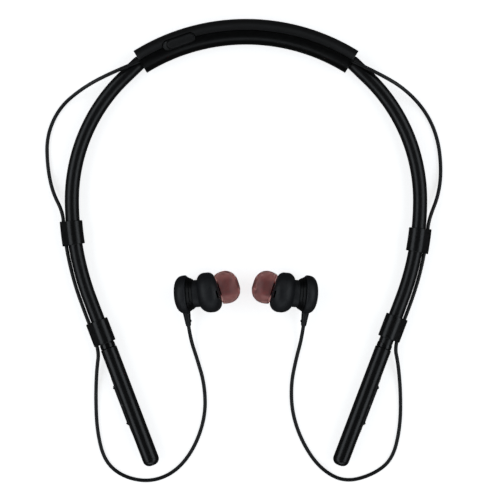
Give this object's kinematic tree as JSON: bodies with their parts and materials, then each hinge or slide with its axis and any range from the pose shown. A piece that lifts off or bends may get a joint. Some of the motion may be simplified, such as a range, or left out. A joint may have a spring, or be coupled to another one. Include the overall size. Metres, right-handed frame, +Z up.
{
  "type": "neckband earphones",
  "caption": "Slim neckband with two in-ear buds on thin cords, lying flat, with magnetic bud caps, sliding cord clips, rocker keys and a port flap.",
  "frame": {"origin": "on the table, under the middle of the object without its cords", "axes": "+X to the side of the right arm, +Y towards the neck pod, +Z up off the table"},
  "size_m": [0.1597, 0.1857, 0.0179],
  "materials": {
    "pod_shell": "satin black moulding",
    "pod_lining": "soft black moulding",
    "end_plate": "polished black",
    "flap_rubber": "matt black rubber",
    "port_frame": "black moulding",
    "port_steel": "stamped steel",
    "board": "green solder mask",
    "shield": "tinned shield",
    "cell_wrap": "wrapped cell",
    "motor_steel": "steel can",
    "arm_rubber": "satin black silicone",
    "spring_steel": "bare wire",
    "clip_rubber": "matt black rubber",
    "ferrule": "gloss black collar",
    "rod_metal": "satin black tube",
    "rod_cap": "gloss black end cap",
    "key_panel": "black bezel",
    "key_plastic": "grey black key",
    "pin_steel": "steel pin",
    "switch": "switch can",
    "bud_plastic": "satin dark grey moulding",
    "ring_plastic": "polished ring",
    "driver": "driver basket",
    "magnet": "plated magnet",
    "relief_rubber": "soft black rubber",
    "mesh": "woven mesh",
    "tip_silicone": "translucent smoky silicone",
    "core_silicone": "red silicone",
    "cord_jacket": "soft black jacket"
  },
  "bodies": {
    "neck_pod": {"pod_outer_shell": "pod_shell", "pod_inner_shell": "pod_lining", "port_seat": "port_frame", "charging_receptacle": "port_steel", "main_board": "board", "radio_shield": "shield", "battery_cell": "cell_wrap", "vibration_motor": "motor_steel", "left_pod_end_plate": "end_plate", "right_pod_end_plate": "end_plate"},
    "port_flap_body": {"port_flap": "flap_rubber"},
    "left_arm": {"left_arm_sleeve": "arm_rubber", "left_memory_wire": "spring_steel", "left_rod_ferrule": "ferrule", "left_rod_tube": "rod_metal", "left_rod_end_cap": "rod_cap", "left_key_panel": "key_panel", "left_rocker_pin": "pin_steel", "left_key_board": "board", "left_key_switches": "switch", "left_bud_housing": "bud_plastic", "left_bud_rear_shell": "bud_plastic", "left_bud_driver": "driver", "left_bud_ring": "ring_plastic", "left_bud_cap": "bud_plastic", "left_cap_magnet": "magnet", "left_strain_relief": "relief_rubber", "left_nozzle_mesh": "mesh", "left_cord": "cord_jacket"},
    "left_upper_clip_body": {"left_upper_clip": "clip_rubber"},
    "left_lower_clip_body": {"left_lower_clip": "clip_rubber"},
    "left_key_body": {"left_rocker_key": "key_plastic"},
    "left_tip_body": {"left_ear_tip": "tip_silicone", "left_tip_core": "core_silicone"},
    "right_arm": {"right_arm_sleeve": "arm_rubber", "right_memory_wire": "spring_steel", "right_rod_ferrule": "ferrule", "right_rod_tube": "rod_metal", "right_rod_end_cap": "rod_cap", "right_key_panel": "key_panel", "right_rocker_pin": "pin_steel", "right_key_board": "board", "right_key_switches": "switch", "right_bud_housing": "bud_plastic", "right_bud_rear_shell": "bud_plastic", "right_bud_driver": "driver", "right_bud_ring": "ring_plastic", "right_bud_cap": "bud_plastic", "right_cap_magnet": "magnet", "right_strain_relief": "relief_rubber", "right_nozzle_mesh": "mesh", "right_cord": "cord_jacket", "right_microphone": "shield"},
    "right_upper_clip_body": {"right_upper_clip": "clip_rubber"},
    "right_lower_clip_body": {"right_lower_clip": "clip_rubber"},
    "right_key_body": {"right_rocker_key": "key_plastic"},
    "right_tip_body": {"right_ear_tip": "tip_silicone", "right_tip_core": "core_silicone"}
  },
  "joints": [
    {"name": "port_flap_hinge", "type": "hinge", "parent": "neck_pod", "child": "port_flap_body", "pos_m": [-0.02025, 0.08196, 0.01024], "axis": [-0.3322, 0.9432, 0], "range_deg": [0, 105]},
    {"name": "left_arm_flex", "type": "hinge", "parent": "neck_pod", "child": "left_arm", "pos_m": [-0.04284, 0.07185, 0.00385], "axis": [0, 0, -1], "range_deg": [0, 12], "stiffness_Nm_per_rad": 0.5},
    {"name": "left_upper_clip_slide", "type": "hinge", "parent": "left_arm", "child": "left_upper_clip_body", "pos_m": [0.04236, 0.0171, 0.00385], "axis": [0, 0, 1], "range_deg": [0, 5.5]},
    {"name": "left_lower_clip_slide", "type": "slide", "parent": "left_arm", "child": "left_lower_clip_body", "axis": [-0.3551, 0.9348, 0], "range_m": [0, 0.008]},
    {"name": "left_key_rock", "type": "hinge", "parent": "left_arm", "child": "left_key_body", "pos_m": [-0.04952, -0.06487, 0.00385], "axis": [0, 0, 1], "range_deg": [-2.5, 2.5], "stiffness_Nm_per_rad": 0.05},
    {"name": "left_tip_pull", "type": "slide", "parent": "left_arm", "child": "left_tip_body", "axis": [0.9472, 0.302, -0.108], "range_m": [0, 0.004]},
    {"name": "right_arm_flex", "type": "hinge", "parent": "neck_pod", "child": "right_arm", "pos_m": [0.04284, 0.07185, 0.00385], "axis": [0, 0, 1], "range_deg": [0, 12], "stiffness_Nm_per_rad": 0.5},
    {"name": "right_upper_clip_slide", "type": "hinge", "parent": "right_arm", "child": "right_upper_clip_body", "pos_m": [-0.04236, 0.0171, 0.00385], "axis": [0, 0, -1], "range_deg": [0, 4.5]},
    {"name": "right_lower_clip_slide", "type": "slide", "parent": "right_arm", "child": "right_lower_clip_body", "axis": [0.3551, 0.9348, 0], "range_m": [0, 0.006]},
    {"name": "right_key_rock", "type": "hinge", "parent": "right_arm", "child": "right_key_body", "pos_m": [0.04952, -0.06487, 0.00385], "axis": [0, 0, 1], "range_deg": [-2.5, 2.5], "stiffness_Nm_per_rad": 0.05},
    {"name": "right_tip_pull", "type": "slide", "parent": "right_arm", "child": "right_tip_body", "axis": [-0.9472, 0.302, -0.108], "range_m": [0, 0.004]}
  ]
}
